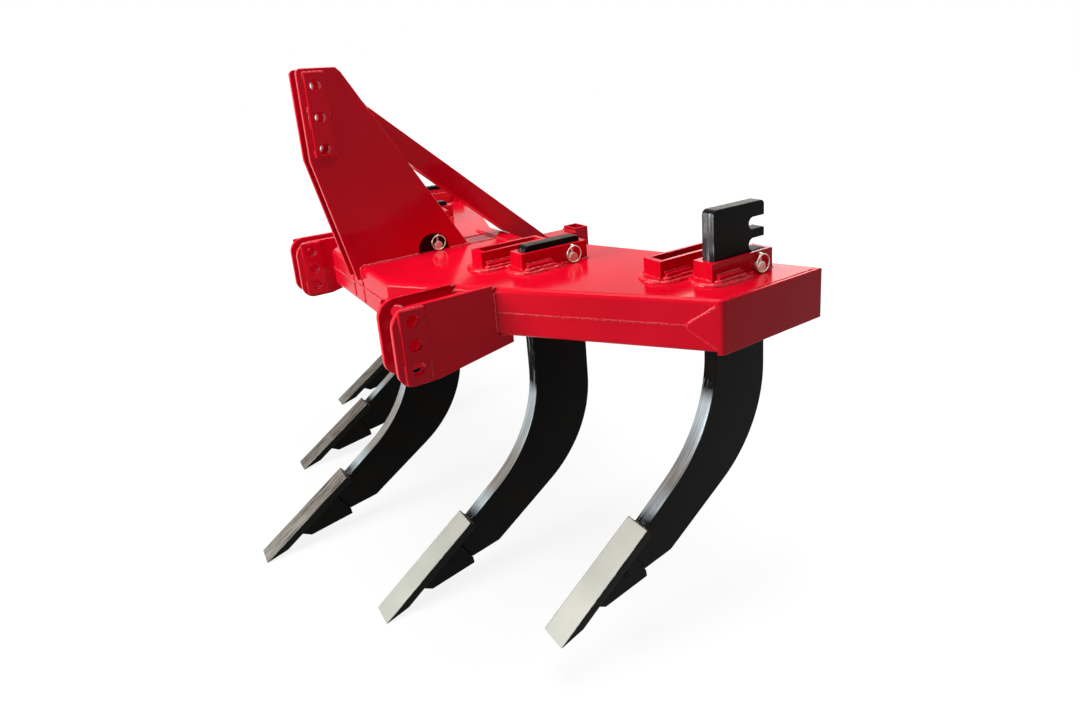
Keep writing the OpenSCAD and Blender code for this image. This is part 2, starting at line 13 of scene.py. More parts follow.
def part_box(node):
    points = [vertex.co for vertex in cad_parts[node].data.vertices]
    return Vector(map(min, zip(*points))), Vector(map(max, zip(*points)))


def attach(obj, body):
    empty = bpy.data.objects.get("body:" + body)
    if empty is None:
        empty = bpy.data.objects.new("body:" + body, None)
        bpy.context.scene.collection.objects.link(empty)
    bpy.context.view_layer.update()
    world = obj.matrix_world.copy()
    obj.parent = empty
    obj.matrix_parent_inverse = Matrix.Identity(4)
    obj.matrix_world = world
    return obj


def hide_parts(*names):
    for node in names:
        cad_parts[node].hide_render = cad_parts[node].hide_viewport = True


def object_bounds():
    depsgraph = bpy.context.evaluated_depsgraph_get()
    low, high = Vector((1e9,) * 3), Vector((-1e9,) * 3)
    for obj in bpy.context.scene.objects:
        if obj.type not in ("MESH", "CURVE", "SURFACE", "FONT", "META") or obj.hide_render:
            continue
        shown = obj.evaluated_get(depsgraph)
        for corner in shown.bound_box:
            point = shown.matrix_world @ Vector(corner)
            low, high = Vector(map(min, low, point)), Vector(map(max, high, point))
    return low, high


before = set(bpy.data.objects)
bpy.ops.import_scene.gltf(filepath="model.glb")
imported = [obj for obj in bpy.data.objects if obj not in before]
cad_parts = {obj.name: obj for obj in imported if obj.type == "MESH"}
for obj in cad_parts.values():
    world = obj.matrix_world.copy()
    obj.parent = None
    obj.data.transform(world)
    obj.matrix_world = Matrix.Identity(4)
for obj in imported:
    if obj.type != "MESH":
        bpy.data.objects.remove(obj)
cad_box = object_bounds()
scene = bpy.context.scene
random = np.random.default_rng(7)

# Main sizes, the ones that the frame's boxes don't give
FRONT_HALF = 0.246
FRONT_SWEEP = math.radians(34.6)
REAR_HALF = 0.103
REAR_SWEEP = math.radians(20.3)
NOSE_LENGTH = 0.076
PAD_REACH = 0.018
POCKET_HALF = 0.028
POCKET_LENGTH = 0.194
BAR_HALF = 0.040
BAR_START = 0.010
BAR_LENGTH = 0.076
PAD_THICK = 0.008
BAR_THICK = 0.012
CLEVIS_TAIL = 0.052
CLEVIS_LIP = 0.012
MAST_CUT = (0.169, 0.259)
MAST_REAR_TOP = (0.025, 0.506)
BRACE_DEPTH = 0.060
BRACE_TOP = (0.006, 0.484)
BRACE_FOOT = 0.607
POINT_ANGLE = math.radians(34)
BEND_RADIUS = 0.330
BEND_DROP = 0.270
BEND_TURN = math.radians(58.2)
SHANK_WIDTH = 0.162
# Distance of the rubbed steel's start below the frame, by shank
WEAR_START = {1: 0.122, 2: 0.17, 3: 0.13, 4: 0.10, 5: 0.10}
SHANK_HALF = 0.0175
SHOE_HALF = 0.022

# Sizes from the frame
middle_lo, middle_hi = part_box("frame_upper_middle")
FACE_Y = middle_lo.y
REAR_Y = middle_hi.y
TOP_Z = middle_hi.z
SEAM_Z = middle_lo.z
LOW_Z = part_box("frame_lower_middle")[0].z
MAST_X = middle_hi.x
MAST_FOOT_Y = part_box("mast_plate_left")[1].y
MAST_IN_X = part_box("mast_plate_left")[0].x
END_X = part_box("end_cap_left")[1].x
HEIGHT = TOP_Z - LOW_Z
SIDES = (1, -1)


def front_y(x):
    return FACE_Y + max(0.0, abs(x) - FRONT_HALF) * math.tan(FRONT_SWEEP)


def rear_y(x):
    return REAR_Y + max(0.0, abs(x) - REAR_HALF) * math.tan(REAR_SWEEP)


# Material nodes
def add(tree, kind, inputs=None, **settings):
    """A new node with its settings, and its inputs set to values or linked to sockets."""
    made = tree.nodes.new(kind)
    for key, value in settings.items():
        setattr(made, key, value)
    for key, value in (inputs or {}).items():
        if isinstance(value, bpy.types.NodeSocket):
            tree.links.new(value, made.inputs[key])
        else:
            made.inputs[key].default_value = value
    return made


def start_material(name, **constants):
    """A material with a Principled shader whose constants are set on its own sockets."""
    material = bpy.data.materials.new(name)
    material.use_nodes = True
    tree = material.node_tree
    shader = tree.nodes["Principled BSDF"]
    for key, value in constants.items():
        shader.inputs[key.replace("_", " ")].default_value = value
    place = add(tree, "ShaderNodeTexCoord").outputs["Object"]
    return material, tree, shader, place


def noise(tree, place, scale, detail=3.0, rough=0.5):
    return add(tree, "ShaderNodeTexNoise", {"Vector": place, "Scale": scale, "Detail": detail, "Roughness": rough}).outputs["Fac"]


def stretched(tree, place, scale, turn=(0.0, 0.0, 0.0)):
    """Coordinates turned first and then stretched, for streaks."""
    turned = add(tree, "ShaderNodeMapping", {"Vector": place, "Rotation": turn}).outputs["Vector"]
    return add(tree, "ShaderNodeMapping", {"Vector": turned, "Scale": scale}).outputs["Vector"]


def ramp(tree, value, low, high, to_low=0.0, to_high=1.0):
    inputs = {"Value": value, "From Min": low, "From Max": high, "To Min": to_low, "To Max": to_high}
    return add(tree, "ShaderNodeMapRange", inputs).outputs["Result"]


def math_node(tree, operation, a, b):
    made = add(tree, "ShaderNodeMath", operation=operation, use_clamp=True)
    for socket, value in zip(made.inputs, (a, b)):
        if isinstance(value, bpy.types.NodeSocket):
            tree.links.new(value, socket)
        else:
            socket.default_value = value
    return made.outputs[0]


def blend_colors(tree, factor, a, b):
    made = add(tree, "ShaderNodeMix", data_type="RGBA")
    tree.links.new(factor, made.inputs["Factor"])
    for socket, value in ((made.inputs[6], a), (made.inputs[7], b)):
        if isinstance(value, bpy.types.NodeSocket):
            tree.links.new(value, socket)
        else:
            socket.default_value = (*value, 1.0)
    return made.outputs[2]


def bump(tree, height, strength, distance, before=None):
    inputs = {"Height": height, "Strength": strength, "Distance": distance}
    if before is not None:
        inputs["Normal"] = before
    return add(tree, "ShaderNodeBump", inputs).outputs["Normal"]


def attribute(tree, name):
    return add(tree, "ShaderNodeAttribute", attribute_name=name).outputs["Fac"]


def red_paint():
    """Thick gloss paint over plate: slow waves, orange peel, a slightly uneven tone, and painted shade on the middle
    pocket's sides inside the mast's cut.
    """
    material, tree, shader, place = start_material(
        "crimson_paint", Specular_IOR_Level=0.05, Coat_Weight=0.05, Coat_Roughness=0.03)
    tone = ramp(tree, noise(tree, place, 4.0), 0.35, 0.65)
    grain = noise(tree, place, 60.0, 2.0)
    color = blend_colors(tree, tone, (0.60, 0.0015, 0.0145), (0.68, 0.002, 0.018))
    # Painted shade: near-black red on the middle pocket's sides above the frame, standing in for the deep shade inside
    # the mast's cut
    color = blend_colors(tree, attribute(tree, "painted_shade"), color, (0.030, 0.0008, 0.0010))
    tree.links.new(color, shader.inputs["Base Color"])
    tree.links.new(ramp(tree, grain, 0.3, 0.7, 0.13, 0.20), shader.inputs["Roughness"])
    waves = bump(tree, noise(tree, place, 9.0, 1.0), 0.10, 0.01)
    peel = bump(tree, noise(tree, place, 300.0, 1.0), 0.03, 0.0006, waves)
    tree.links.new(peel, shader.inputs["Normal"])
    return material


def weld_paint():
    """The same paint where it has run over a rough bead."""
    material, tree, shader, place = start_material(
        "crimson_weld", Specular_IOR_Level=0.22, Coat_Weight=0.18, Coat_Roughness=0.08)
    rough = noise(tree, place, 150.0, 3.0, 0.55)
    color = blend_colors(tree, ramp(tree, rough, 0.35, 0.6), (0.42, 0.001, 0.009), (0.68, 0.003, 0.020))
    tree.links.new(color, shader.inputs["Base Color"])
    tree.links.new(ramp(tree, rough, 0.3, 0.7, 0.18, 0.34), shader.inputs["Roughness"])
    tree.links.new(bump(tree, rough, 0.3, 0.0012), shader.inputs["Normal"])
    return material


def black_paint():
    """Black paint on forged steel, rubbed to bare streaky steel where the worn mark says, and part-way lighter as a
    painted highlight on the raised shank's upper front edge.
    """
    material, tree, shader, place = start_material("black_paint", Specular_IOR_Level=0.05)
    streaks = noise(tree, stretched(tree, place, (420.0, 9.0, 9.0)), 1.0, 4.0, 0.6)
    patches = noise(tree, place, 38.0, 5.0, 0.6)
    wear_and_highlight = attribute(tree, "wear_and_highlight")
    lines = math_node(tree, "MULTIPLY", ramp(tree, streaks, 0.58, 0.64), ramp(tree, wear_and_highlight, 0.02, 0.06))
    spread = math_node(tree, "ADD", wear_and_highlight, ramp(tree, patches, 0.3, 0.7, 0.0, 0.15))
    worn = math_node(tree, "MAXIMUM", lines, ramp(tree, spread, 0.30, 0.95))
    bright = blend_colors(tree, ramp(tree, streaks, 0.36, 0.62), (0.27, 0.32, 0.345), (0.50, 0.57, 0.60))
    dull = blend_colors(tree, ramp(tree, streaks, 0.40, 0.60), (0.15, 0.145, 0.13), (0.32, 0.31, 0.28))
    scratched = ramp(tree, wear_and_highlight, 1.1, 1.8)
    steel = blend_colors(tree, scratched, bright, dull)
    dust = ramp(tree, noise(tree, place, 11.0, 5.0, 0.6), 0.45, 0.75)
    black = blend_colors(tree, dust, (0.0032, 0.0028, 0.0024), (0.0070, 0.0058, 0.0044))
    normal = add(tree, "ShaderNodeNewGeometry").outputs["Normal"]
    up = add(tree, "ShaderNodeSeparateXYZ", {"Vector": normal}).outputs["Z"]
    settled = math_node(tree, "MULTIPLY", ramp(tree, up, 0.90, 0.98), ramp(tree, patches, 0.3, 0.6, 0.2, 1.0))
    black = blend_colors(tree, settled, black, (0.070, 0.062, 0.050))
    tree.links.new(blend_colors(tree, worn, black, steel), shader.inputs["Base Color"])
    tree.links.new(math_node(tree, "MULTIPLY", worn, ramp(tree, scratched, 0.0, 1.0, 0.55, 0.10)), shader.inputs["Metallic"])
    tree.links.new(ramp(tree, worn, 0.0, 1.0, 0.48, 0.30), shader.inputs["Roughness"])
    skin = bump(tree, noise(tree, place, 130.0, 3.0), 0.12, 0.001)
    tree.links.new(bump(tree, streaks, 0.10, 0.0006, skin), shader.inputs["Normal"])
    return material


def point_steel():
    """Bare grey steel on a point's face, scratched with age, and black paint elsewhere."""
    material, tree, shader, place = start_material("point_steel", Specular_IOR_Level=0.08)
    turn = (-POINT_ANGLE, 0.0, 0.0)
    scratches = noise(tree, stretched(tree, place, (260.0, 14.0, 260.0), turn), 1.0, 5.0, 0.7)
    cloud = noise(tree, place, 8.0, 3.0, 0.5)
    bare = ramp(tree, math_node(tree, "ADD", attribute(tree, "bare"),
                                ramp(tree, noise(tree, place, 90.0, 3.0), 0.3, 0.7, 0.0, 0.12)), 0.45, 0.60)
    age = attribute(tree, "age")
    clean = blend_colors(tree, ramp(tree, cloud, 0.35, 0.7), (0.47, 0.48, 0.42), (0.40, 0.41, 0.365))
    old = blend_colors(tree, ramp(tree, scratches, 0.42, 0.60), (0.035, 0.029, 0.022), (0.26, 0.23, 0.195))
    mixed = math_node(tree, "MULTIPLY", age, ramp(tree, cloud, 0.2, 0.62, 0.75, 1.35))
    steel = blend_colors(tree, mixed, clean, old)
    tree.links.new(blend_colors(tree, bare, (0.0045, 0.0042, 0.0042), steel), shader.inputs["Base Color"])
    tree.links.new(math_node(tree, "MULTIPLY", bare, 0.35), shader.inputs["Metallic"])
    tree.links.new(ramp(tree, scratches, 0.3, 0.7, 0.42, 0.56), shader.inputs["Roughness"])
    tree.links.new(bump(tree, scratches, 0.14, 0.0006), shader.inputs["Normal"])
    return material


def zinc_plate():
    """Zinc plating with a pale yellow cast."""
    material, tree, shader, place = start_material("zinc_plate", Metallic=0.9)
    cast = ramp(tree, noise(tree, place, 45.0, 3.0), 0.35, 0.65)
    color = blend_colors(tree, cast, (0.66, 0.64, 0.60), (0.58, 0.50, 0.36))
    tree.links.new(color, shader.inputs["Base Color"])
    tree.links.new(ramp(tree, noise(tree, place, 160.0, 2.0), 0.3, 0.7, 0.28, 0.42), shader.inputs["Roughness"])
    return material


def weld_steel():
    """A dark, rusty brown bead, as welded."""
    material, tree, shader, place = start_material("weld_steel", Metallic=0.4)
    spots = ramp(tree, noise(tree, place, 300.0, 4.0, 0.6), 0.4, 0.62)
    color = blend_colors(tree, spots, (0.030, 0.024, 0.021), (0.20, 0.15, 0.12))
    tree.links.new(color, shader.inputs["Base Color"])
    tree.links.new(ramp(tree, spots, 0.0, 1.0, 0.6, 0.38), shader.inputs["Roughness"])
    return material


RED = red_paint()
WELD = weld_paint()
BLACK = black_paint()
POINT = point_steel()
ZINC = zinc_plate()
BARE_WELD = weld_steel()


# Dressing the solids
def joined_copy(node):
    """A CAD node's mesh with its corners joined and its flat faces whole."""
    bm = bmesh.new()
    bm.from_mesh(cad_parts[node].data)
    bmesh.ops.remove_doubles(bm, verts=bm.verts, dist=2e-5)
    bmesh.ops.dissolve_limit(bm, angle_limit=math.radians(0.8), verts=bm.verts, edges=bm.edges)
    return bm


def round_edges(bm, width, segments=2):
    """Rounds every edge that turns by more than 28 degrees."""
    sharp = [e for e in bm.edges if len(e.link_faces) == 2 and e.calc_face_angle(0.0) > math.radians(28)]
    bmesh.ops.bevel(bm, geom=sharp, offset=width, offset_type="OFFSET", segments=segments,
                    profile=0.5, affect="EDGES", clamp_overlap=False, miter_outer="SHARP")


def finish_piece(name, mesh, material, flat_turn=50.0):
    """Makes the mesh a piece on the root body, smooth between its flat faces."""
    piece = bpy.data.objects.new(name, mesh)
    scene.collection.objects.link(piece)
    mesh.materials.clear()
    mesh.materials.append(material)
    mesh.polygons.foreach_set("use_smooth", [True] * len(mesh.polygons))
    mesh.set_sharp_from_angle(angle=math.radians(flat_turn))
    weighted = piece.modifiers.new("flat faces", "WEIGHTED_NORMAL")
    weighted.keep_sharp = True
    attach(piece, "root")
    return piece


def dress(node, width, material, mark=None):
    """A rounded copy that stands for a CAD node. mark sets face attributes on it."""
    bm = joined_copy(node)
    if width > 0:
        round_edges(bm, width)
    if mark is not None:
        mark(bm)
    mesh = bpy.data.meshes.new("skin_" + node)
    bm.to_mesh(mesh)
    bm.free()
    piece = finish_piece("skin_" + node, mesh, material)
    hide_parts(node)
    return piece


def solid_boxes(node):
    """The lowest and highest corner of each solid in a CAD node, from left to right."""
    bm = bmesh.new()
    bm.from_mesh(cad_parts[node].data)
    bmesh.ops.remove_doubles(bm, verts=bm.verts, dist=2e-5)
    left, boxes = set(bm.verts), []
    while left:
        stack = [left.pop()]
        found = list(stack)
        while stack:
            for edge in stack.pop().link_edges:
                for vert in edge.verts:
                    if vert in left:
                        left.discard(vert)
                        stack.append(vert)
                        found.append(vert)
        corners = np.array([v.co for v in found])
        boxes.append((Vector(corners.min(0)), Vector(corners.max(0))))
    bm.free()
    return sorted(boxes, key=lambda box: (box[0].x, box[0].y))


def cut_levels(bm, low, high, count):
    """Splits the faces between two heights, so that marks can change along them."""
    for k in range(count + 1):
        bmesh.ops.bisect_plane(bm, geom=bm.verts[:] + bm.edges[:] + bm.faces[:], dist=1e-5,
                               plane_co=(0.0, 0.0, low + (high - low) * k / count), plane_no=(0.0, 0.0, 1.0))


def shank_wear_and_highlight(i):
    """Marks the shank's front edge: under 0.1 for a few bare lines, 1 for rubbed bright, 2 for scratched grey, and
    0.42 for a painted highlight above the frame on the raised shank.
    """
    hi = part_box(f"shank_{i}")[1]
    raised = hi.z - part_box("shank_5")[1].z
    centre_y = hi.y - SHANK_WIDTH - BEND_RADIUS
    centre_z = TOP_Z + raised - BEND_DROP
    start_z = LOW_Z - WEAR_START[i]

    def mark(bm):
        cut_levels(bm, centre_z, LOW_Z, 8)
        wear_and_highlight = bm.verts.layers.float.new("wear_and_highlight")
        for vert in bm.verts:
            y, z = vert.co.y - centre_y, vert.co.z - centre_z
            turn = min(BEND_TURN, max(0.0, math.atan2(-z, y)))
            depth = y * math.cos(turn) - z * math.sin(turn) - BEND_RADIUS
            if abs(depth) > 0.0013:
                continue
            # Painted highlight: the raised shank's front edge above the frame is set part-way to lighter grey steel
            if i == 1 and vert.co.z > TOP_Z:
                vert[wear_and_highlight] = 0.42
                continue
            down = start_z - vert.co.z
            rubbed = min(1.0, max(0.0, down / 0.05)) + min(1.0, max(0.0, (down - 0.08) / 0.15))
            vert[wear_and_highlight] = max(rubbed, 0.0 if i == 1 else 0.08)
    return mark


POINT_AGE = {1: 0.0, 2: 0.05, 3: 0.75, 4: 0.95, 5: 1.0}


def point_marks(i):
    """Marks the point's upper face as bare, and how scratched it is along its length."""
    lo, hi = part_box(f"point_{i}")
    outward = Vector((0.0, -math.sin(POINT_ANGLE), math.cos(POINT_ANGLE)))

    def mark(bm):
        bare = bm.faces.layers.float.new("bare")
        age = bm.faces.layers.float.new("age")
        for face in bm.faces:
            up = face.normal.dot(outward)
            face[bare] = 1.0 if up > 0.93 else (0.42 if up > 0.5 else 0.0)
            share = (face.calc_center_median().z - lo.z) / (hi.z - lo.z)
            worn = POINT_AGE[i] * (0.75 + 0.6 * share) if i == 3 else POINT_AGE[i] * (0.7 + 0.5 * share)
            face[age] = min(1.0, worn)
    return mark


def painted_shade_sides(bm):
    """Marks the middle pocket's sides above the frame for painted shade: near-black red, standing in for the deep
    shade inside the mast's cut.
    """
    cut_levels(bm, TOP_Z, TOP_Z, 1)
    painted_shade = bm.faces.layers.float.new("painted_shade")
    for face in bm.faces:
        above = face.calc_center_median().z > TOP_Z
        face[painted_shade] = 1.0 if above and abs(face.normal.x) > 0.9 else 0.0


def cut_along(bm, lo, hi, count):
    """Splits a point's long faces, so that its marks can change along it."""
    along = Vector((0.0, math.cos(POINT_ANGLE), math.sin(POINT_ANGLE)))
    for k in range(1, count):
        place = Vector((lo.x, lo.y, lo.z)).lerp(Vector((lo.x, hi.y, hi.z)), k / count)
        bmesh.ops.bisect_plane(bm, geom=bm.verts[:] + bm.edges[:] + bm.faces[:], dist=1e-5,
                               plane_co=place, plane_no=along)


def dress_point(i):
    lo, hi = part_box(f"point_{i}")
    marks = point_marks(i)

    def mark(bm):
        cut_along(bm, lo, hi, 16)
        marks(bm)
    return dress(f"point_{i}", 0.0018, POINT, mark)


# Rounding of each red node's edges
RED_EDGES = {
    "frame_upper_left": 0.0012, "frame_upper_right": 0.0012, "frame_upper_middle": 0.0008,
    "frame_lower_left": 0.0012, "frame_lower_right": 0.0012, "frame_lower_middle": 0.0008,
    "end_cap_left": 0.0016, "end_cap_right": 0.0016, "rear_plate": 0.0018, "spine": 0.0022,
    "rear_socket": 0.0022, "clevis_outer_left": 0.0025, "clevis_inner_left": 0.0025,
    "clevis_outer_right": 0.0025, "clevis_inner_right": 0.0025, "clevis_strip_left": 0.0016,
    "clevis_strip_right": 0.0016, "mast_plate_left": 0.0025, "mast_plate_right": 0.0025,
    "mast_doublers": 0.0018, "brace": 0.0022, "pocket_cheeks_left": 0.0012,
    "pocket_cheeks_right": 0.0012, "pocket_cheeks_middle": 0.0012, "pocket_blocks_left": 0.0006,
    "pocket_blocks_right": 0.0006, "pocket_blocks_middle": 0.0006, "pocket_pads_left": 0.0024,
    "pocket_pads_right": 0.0024, "pocket_bars_left": 0.0030, "pocket_bars_right": 0.0030,
}
# Each red node is rounded; the middle pocket's sides also get painted shade
for node, width in RED_EDGES.items():
    dress(node, width, RED, painted_shade_sides if node == "pocket_cheeks_middle" else None)
for i in range(1, 6):
    dress(f"shank_{i}", 0.0026, BLACK, shank_wear_and_highlight(i))
    dress_point(i)
dress("point_shoes", 0.0018, BLACK)
dress("shank_pins", 0.0014, ZINC)
dress("lock_rings", 0.0, ZINC)


# Weld beads
RING_STEP = 0.0022
RING_SIDES = 8
RIPPLE = 0.0062


def spaced(path, step):
    """Points along a path at even steps, with its corners a little rounded off."""
    points = np.array(path, float)
    lengths = np.linalg.norm(np.diff(points, axis=0), axis=1)
    at = np.concatenate([[0.0], np.cumsum(lengths)])
    count = max(3, int(round(at[-1] / step)) + 1)
    places = np.linspace(0.0, at[-1], count)
    even = np.stack([np.interp(places, at, points[:, k]) for k in range(3)], axis=1)
    even[1:-1] = (even[:-2] + 2 * even[1:-1] + even[2:]) / 4
    return even, places


def slow_noise(count, every):
    """Random values from -1 to 1 that change slowly from ring to ring."""
    knots = random.uniform(-1.0, 1.0, max(2, count // every + 2))
    return np.interp(np.linspace(0.0, len(knots) - 1.0, count), np.arange(len(knots)), knots)


def bead(path, radius, rough=0.12):
    """Corners and faces of one rippled bead along a path."""
    centre, places = spaced(path, RING_STEP)
    count = len(centre)
    ahead = np.gradient(centre, axis=0)
    ahead /= np.linalg.norm(ahead, axis=1)[:, None]
    side = np.cross(ahead[0], (0.31, 0.52, 0.80))
    ripple = 0.88 + 0.16 * np.abs(np.sin(math.pi * places / RIPPLE))
    width = radius * (ripple + rough * slow_noise(count, 4))
    ends = np.minimum(1.0, 0.35 + np.minimum(np.arange(count), np.arange(count)[::-1]) / 3.0)
    width *= ends
    wander = np.stack([slow_noise(count, 7) for _ in range(3)], axis=1) * radius * rough
    turns = np.linspace(0.0, 2 * math.pi, RING_SIDES, endpoint=False)
    rings = []
    for k in range(count):
        side = side - ahead[k] * side.dot(ahead[k])
        side /= np.linalg.norm(side)
        other = np.cross(ahead[k], side)
        offsets = np.outer(np.cos(turns), side) + np.outer(np.sin(turns), other)
        rings.append(centre[k] + wander[k] + offsets * width[k])
    faces = []
    for k in range(count - 1):
        for j in range(RING_SIDES):
            a, b = k * RING_SIDES + j, k * RING_SIDES + (j + 1) % RING_SIDES
            faces.append((a, b, b + RING_SIDES, a + RING_SIDES))
    last = (count - 1) * RING_SIDES
    faces.append(tuple(range(RING_SIDES))[::-1])
    faces.append(tuple(last + j for j in range(RING_SIDES)))
    return np.concatenate(rings), faces


def weld(name, beads, material=None):
    """One piece made of several beads. Each bead is a path, a radius and its roughness."""
    verts, faces, base = [], [], 0
    for path, radius, rough in beads:
        ring_verts, ring_faces = bead(path, radius, rough)
        verts.append(ring_verts)
        faces += [tuple(base + v for v in face) for face in ring_faces]
        base += len(ring_verts)
    mesh = bpy.data.meshes.new(name)
    mesh.from_pydata(np.concatenate(verts).tolist(), [], faces)
    mesh.update()
    return finish_piece(name, mesh, material or WELD, 80.0)


def mirrored(path, side):
    return [(side * x, y, z) for x, y, z in path]


def loop(points):
    return points + points[:1]


def front_line(x0, x1, z):
    xs = [x0] + [x for x in (-FRONT_HALF, FRONT_HALF) if x0 < x < x1] + [x1]
    return [(x, front_y(x), z) for x in xs]


def frame_welds():
    """Seams of the pressed halves, and the end caps' edges."""
    clevis_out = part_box("clevis_outer_left")[1].x
    clevis_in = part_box("clevis_inner_left")[0].x
    cap_in = END_X - 0.010
    nose_x = END_X - NOSE_LENGTH * math.cos(FRONT_SWEEP)
    spine_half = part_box("spine")[1].x
    beads = [(front_line(-clevis_in, clevis_in, SEAM_Z), 0.0028, 0.15)]
    for side in SIDES:
        beads.append((mirrored(front_line(clevis_out, nose_x, SEAM_Z), side), 0.0028, 0.18))
        rear = [(x, rear_y(x), SEAM_Z) for x in (spine_half, REAR_HALF, cap_in)]
        beads.append((mirrored(rear, side), 0.0036, 0.2))
        beads.append((mirrored(nose_edge(), side), 0.0048, 0.12))
        for z in (TOP_Z, LOW_Z):
            cap = [(cap_in, front_y(cap_in) + 0.016, z), (cap_in, rear_y(cap_in) - 0.006, z)]
            beads.append((mirrored(cap, side), 0.0014, 0.2))
        joint = [(MAST_X, FACE_Y, TOP_Z - 0.040), (MAST_X, FACE_Y, LOW_Z + 0.013)]
        beads.append((mirrored(joint, side), 0.0024, 0.2))
        under = [(MAST_X, FACE_Y + 0.014, LOW_Z), (MAST_X, REAR_Y, LOW_Z), (MAST_X, REAR_Y, TOP_Z)]
        beads.append((mirrored(under, side), 0.0024, 0.2))
    return beads


def nose_edge():
    """Edge of the left end cap's nose on the wing's front face."""
    trim = [(0.0, 0.0), (-0.2, 0.1), (-1.0, 0.46), (-1.0, 0.54), (-0.2, 0.9), (0.0, 1.0)]
    corner_y = front_y(END_X)
    path = []
    for along, down in trim[1:-1]:
        x = END_X + along * NOSE_LENGTH * math.cos(FRONT_SWEEP)
        y = corner_y + along * NOSE_LENGTH * math.sin(FRONT_SWEEP)
        path.append((x, y, TOP_Z - down * HEIGHT))
    return path


def edge_bits(lo, hi, x, reach, radius):
    """Beads round the two ends of an upright strip that lies on a plate at x."""
    upper = [(x, lo.y, hi.z - reach), (x, lo.y, hi.z), (x, hi.y, hi.z), (x, hi.y, hi.z - reach)]
    lower = [(x, lo.y, lo.z + reach), (x, lo.y, lo.z), (x, hi.y, lo.z), (x, hi.y, lo.z + reach)]
    return [(upper, radius, 0.18), (lower, radius, 0.18)]


def hitch_welds():
    """Clevis plates on the frame, and their strips."""
    beads = []
    for side_name, side in (("left", 1), ("right", -1)):
        for part in ("outer", "inner"):
            lo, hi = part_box(f"clevis_{part}_{side_name}")
            for x in (lo.x, hi.x):
                y = front_y(x)
                beads.append(([(x, y, LOW_Z + 0.010), (x, y, TOP_Z - 0.010)], 0.0042, 0.15))
                beads.append(([(x, y + 0.006, LOW_Z), (x, y + CLEVIS_TAIL, LOW_Z)], 0.0042, 0.15))
            end_y = front_y(min(abs(lo.x), abs(hi.x))) + CLEVIS_LIP
            lip = [(lo.x, end_y - 0.012, TOP_Z), (lo.x, end_y, TOP_Z), (hi.x, end_y, TOP_Z),
                   (hi.x, end_y - 0.006, TOP_Z)]
            beads.append((lip, 0.0038, 0.18))
        for lo, hi in solid_boxes(f"clevis_strip_{side_name}"):
            middle = side * 0.435
            x = lo.x if abs(lo.x - middle) < abs(hi.x - middle) else hi.x
            beads += edge_bits(lo, hi, x, 0.045, 0.0026)
    return beads


def mast_welds():
    """Mast plates on the frame, their doublers, and the brace between them."""
    beads = []
    toe_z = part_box("mast_plate_left")[0].z
    slope = (BRACE_TOP[1] + TOP_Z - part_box("brace")[0].z) / (BRACE_FOOT - BRACE_TOP[0])
    rear_slope = (MAST_FOOT_Y - FACE_Y - MAST_REAR_TOP[0]) / MAST_REAR_TOP[1]
    for side in SIDES:
        x = side * MAST_X
        beads.append(([(x, FACE_Y, toe_z), (x, FACE_Y, TOP_Z - 0.004), (x, FACE_Y + 0.010, TOP_Z),
                       (x, FACE_Y + MAST_CUT[0], TOP_Z)], 0.0048, 0.16))
        beads.append(([(x, FACE_Y + MAST_CUT[1], TOP_Z), (x, MAST_FOOT_Y, TOP_Z),
                       (side * MAST_IN_X, MAST_FOOT_Y, TOP_Z)], 0.0048, 0.16))
        beads.append(([(side * MAST_IN_X, FACE_Y, toe_z), (x, FACE_Y, toe_z)], 0.0035, 0.16))
        beads.append(([(x, MAST_FOOT_Y, TOP_Z), (x, REAR_Y - 0.054, TOP_Z)], 0.0020, 0.2))
        ends = []
        for depth in (0.0, BRACE_DEPTH):
            drop = depth / math.cos(math.atan(slope))
            top = BRACE_TOP[1] - drop + slope * BRACE_TOP[0]
            y = (MAST_REAR_TOP[0] + rear_slope * (MAST_REAR_TOP[1] - top)) / (1 - rear_slope * slope)
            ends.append((side * MAST_IN_X, FACE_Y + y, TOP_Z + top - slope * y))
        beads.append((ends, 0.0032, 0.16))
    for lo, hi in solid_boxes("mast_doublers"):
        x = lo.x if lo.x > 0 else hi.x
        beads += edge_bits(lo, hi, x, 0.020, 0.0028)
        mid = (lo.z + hi.z) / 2 - 0.004
        for y in (lo.y, hi.y):
            beads.append(([(x, y, mid - 0.028), (x, y, mid + 0.028)], 0.0030, 0.2))
    return beads


def rear_welds():
    """Spine on the frame, brace and socket on the spine, and the plate over the joint."""
    lo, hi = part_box("spine")
    socket_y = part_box("rear_socket")[0].y
    beads = []
    for y, radius in ((REAR_Y, 0.0045), (socket_y, 0.0038)):
        ring = loop([(lo.x, y, lo.z), (hi.x, y, lo.z), (hi.x, y, hi.z), (lo.x, y, hi.z)])
        beads.append((ring, radius, 0.16))
    brace_lo, brace_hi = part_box("brace")
    slope = math.atan((BRACE_TOP[1] + TOP_Z - brace_lo.z) / (BRACE_FOOT - BRACE_TOP[0]))
    foot_y = FACE_Y + BRACE_FOOT
    heel_y = foot_y - BRACE_DEPTH / math.sin(slope)
    z = brace_lo.z
    foot = loop([(brace_lo.x, heel_y, z), (brace_hi.x, heel_y, z), (brace_hi.x, foot_y, z), (brace_lo.x, foot_y, z)])
    beads.append((foot, 0.0040, 0.16))
    lo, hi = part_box("rear_plate")
    plate = loop([(lo.x, lo.y, lo.z), (hi.x, lo.y, lo.z), (hi.x, hi.y, lo.z), (lo.x, hi.y, lo.z)])
    beads.append((plate, 0.0034, 0.18))
    return beads


